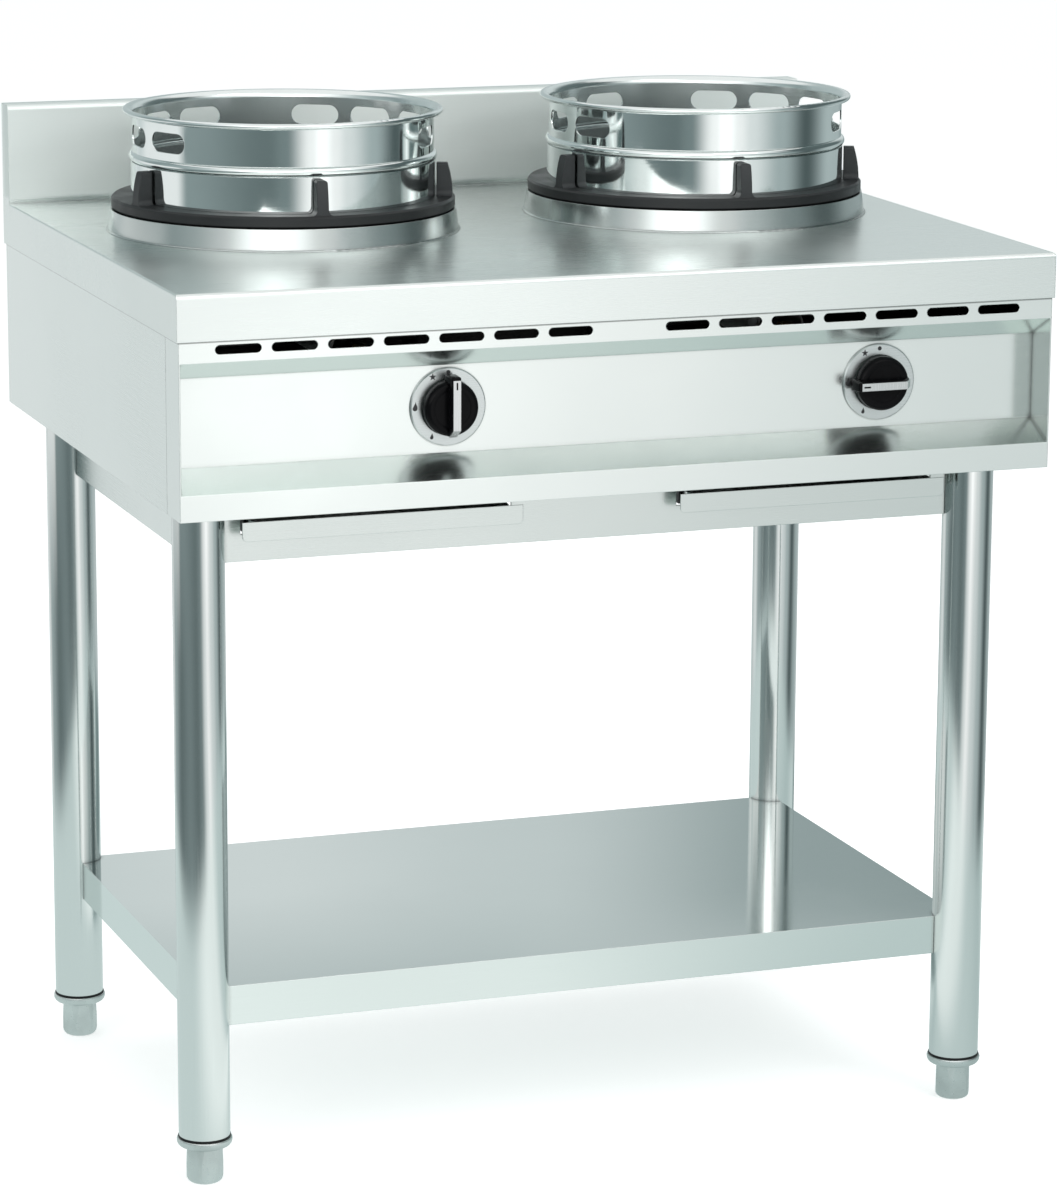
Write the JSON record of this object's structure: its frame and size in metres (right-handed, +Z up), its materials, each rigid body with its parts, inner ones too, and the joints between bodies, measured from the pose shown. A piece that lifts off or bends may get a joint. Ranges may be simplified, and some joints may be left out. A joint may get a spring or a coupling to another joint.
{
  "type": "wok burner",
  "caption": "Stainless steel wok cooking range on tubular legs: slotted wok rings on cast trivets, push-turn gas taps in a recessed panel, pull-out drip trays and an undershelf.",
  "frame": {"origin": "on the floor, under the middle of the worktop, at the unextended feet", "axes": "+Z up, +Y towards the rear upstand, +X to the right when facing the knobs"},
  "size_m": [0.9, 0.69, 1.0241],
  "materials": {
    "brushed_steel": "fine brushed stainless sheet",
    "ring_steel": "polished stainless ring",
    "cast_iron": "matt black cast iron",
    "cast_aluminium": "sand-cast aluminium",
    "brass": "machined brass",
    "copper": "drawn copper pipe",
    "plated_steel": "zinc-plated steel",
    "knob_black": "glossy black moulded knob",
    "knob_silver": "satin silver strip",
    "dial_silver": "satin dial plate",
    "foot_grey": "satin grey levelling foot"
  },
  "bodies": {
    "range": {"worktop": "brushed_steel", "front_panel": "brushed_steel", "side_panel_left": "brushed_steel", "side_panel_right": "brushed_steel", "rear_panel": "brushed_steel", "base_pan": "brushed_steel", "burner_collar_left": "brushed_steel", "burner_collar_right": "brushed_steel", "burner_head_left": "cast_iron", "burner_head_right": "cast_iron", "mixing_tube_left": "cast_aluminium", "mixing_tube_right": "cast_aluminium", "burner_bracket_left": "plated_steel", "burner_bracket_right": "plated_steel", "injector_left": "brass", "injector_right": "brass", "burner_pipe_left": "copper", "burner_pipe_right": "copper", "pilot_left": "brushed_steel", "pilot_right": "brushed_steel", "pilot_pipe_left": "copper", "pilot_pipe_right": "copper", "gas_tap_left": "brass", "gas_tap_right": "brass", "dial_plate_left": "dial_silver", "dial_plate_right": "dial_silver", "gas_manifold": "plated_steel", "gas_inlet": "brass", "tray_runners": "plated_steel", "leg_front_left": "brushed_steel", "leg_front_right": "brushed_steel", "leg_rear_left": "brushed_steel", "leg_rear_right": "brushed_steel", "leg_inserts": "foot_grey", "apron_front": "brushed_steel", "apron_rear": "brushed_steel", "apron_left": "brushed_steel", "apron_right": "brushed_steel", "undershelf": "brushed_steel", "housing_screws": "plated_steel"},
    "tap_left": {"tap_plug_left": "brass"},
    "knob_set_left": {"knob_left": "knob_black", "knob_strip_left": "knob_silver", "tap_spindle_left": "plated_steel"},
    "trivet_left": {"trivet_left": "cast_iron"},
    "wok_ring_left": {"wok_ring_left": "ring_steel", "ring_band_left": "ring_steel"},
    "drip_tray_left": {"drip_tray_left": "brushed_steel"},
    "tap_right": {"tap_plug_right": "brass"},
    "knob_set_right": {"knob_right": "knob_black", "knob_strip_right": "knob_silver", "tap_spindle_right": "plated_steel"},
    "trivet_right": {"trivet_right": "cast_iron"},
    "wok_ring_right": {"wok_ring_right": "ring_steel", "ring_band_right": "ring_steel"},
    "drip_tray_right": {"drip_tray_right": "brushed_steel"},
    "foot_front_left": {"foot_front_left": "foot_grey"},
    "foot_front_right": {"foot_front_right": "foot_grey"},
    "foot_rear_left": {"foot_rear_left": "foot_grey"},
    "foot_rear_right": {"foot_rear_right": "foot_grey"}
  },
  "joints": [
    {"name": "tap_left_turn", "type": "hinge", "parent": "range", "child": "tap_left", "pos_m": [-0.171, -0.303, 0.77325], "axis": [0, -1, 0], "range_deg": [0, 150]},
    {"name": "knob_left_push", "type": "slide", "parent": "tap_left", "child": "knob_set_left", "axis": [0, 1, 0], "range_m": [0, 0.004], "stiffness_N_per_m": 2000, "springref_m": -0.003},
    {"name": "trivet_left_lift", "type": "slide", "parent": "range", "child": "trivet_left", "axis": [0, 0, 1], "range_m": [0, 0.12]},
    {"name": "wok_ring_left_lift", "type": "slide", "parent": "trivet_left", "child": "wok_ring_left", "axis": [0, 0, 1], "range_m": [0, 0.15]},
    {"name": "drip_tray_left_slide", "type": "slide", "parent": "range", "child": "drip_tray_left", "axis": [0, -1, 0], "range_m": [0, 0.4]},
    {"name": "tap_right_turn", "type": "hinge", "parent": "range", "child": "tap_right", "pos_m": [0.279, -0.303, 0.77325], "axis": [0, -1, 0], "range_deg": [-90, 60]},
    {"name": "knob_right_push", "type": "slide", "parent": "tap_right", "child": "knob_set_right", "axis": [0, 1, 0], "range_m": [0, 0.004], "stiffness_N_per_m": 2000, "springref_m": -0.003},
    {"name": "trivet_right_lift", "type": "slide", "parent": "range", "child": "trivet_right", "axis": [0, 0, 1], "range_m": [0, 0.12]},
    {"name": "wok_ring_right_lift", "type": "slide", "parent": "trivet_right", "child": "wok_ring_right", "axis": [0, 0, 1], "range_m": [0, 0.15]},
    {"name": "drip_tray_right_slide", "type": "slide", "parent": "range", "child": "drip_tray_right", "axis": [0, -1, 0], "range_m": [0, 0.4]},
    {"name": "foot_front_left_level", "type": "slide", "parent": "range", "child": "foot_front_left", "axis": [0, 0, -1], "range_m": [0, 0.025]},
    {"name": "foot_front_right_level", "type": "slide", "parent": "range", "child": "foot_front_right", "axis": [0, 0, -1], "range_m": [0, 0.025]},
    {"name": "foot_rear_left_level", "type": "slide", "parent": "range", "child": "foot_rear_left", "axis": [0, 0, -1], "range_m": [0, 0.025]},
    {"name": "foot_rear_right_level", "type": "slide", "parent": "range", "child": "foot_rear_right", "axis": [0, 0, -1], "range_m": [0, 0.025]}
  ]
}
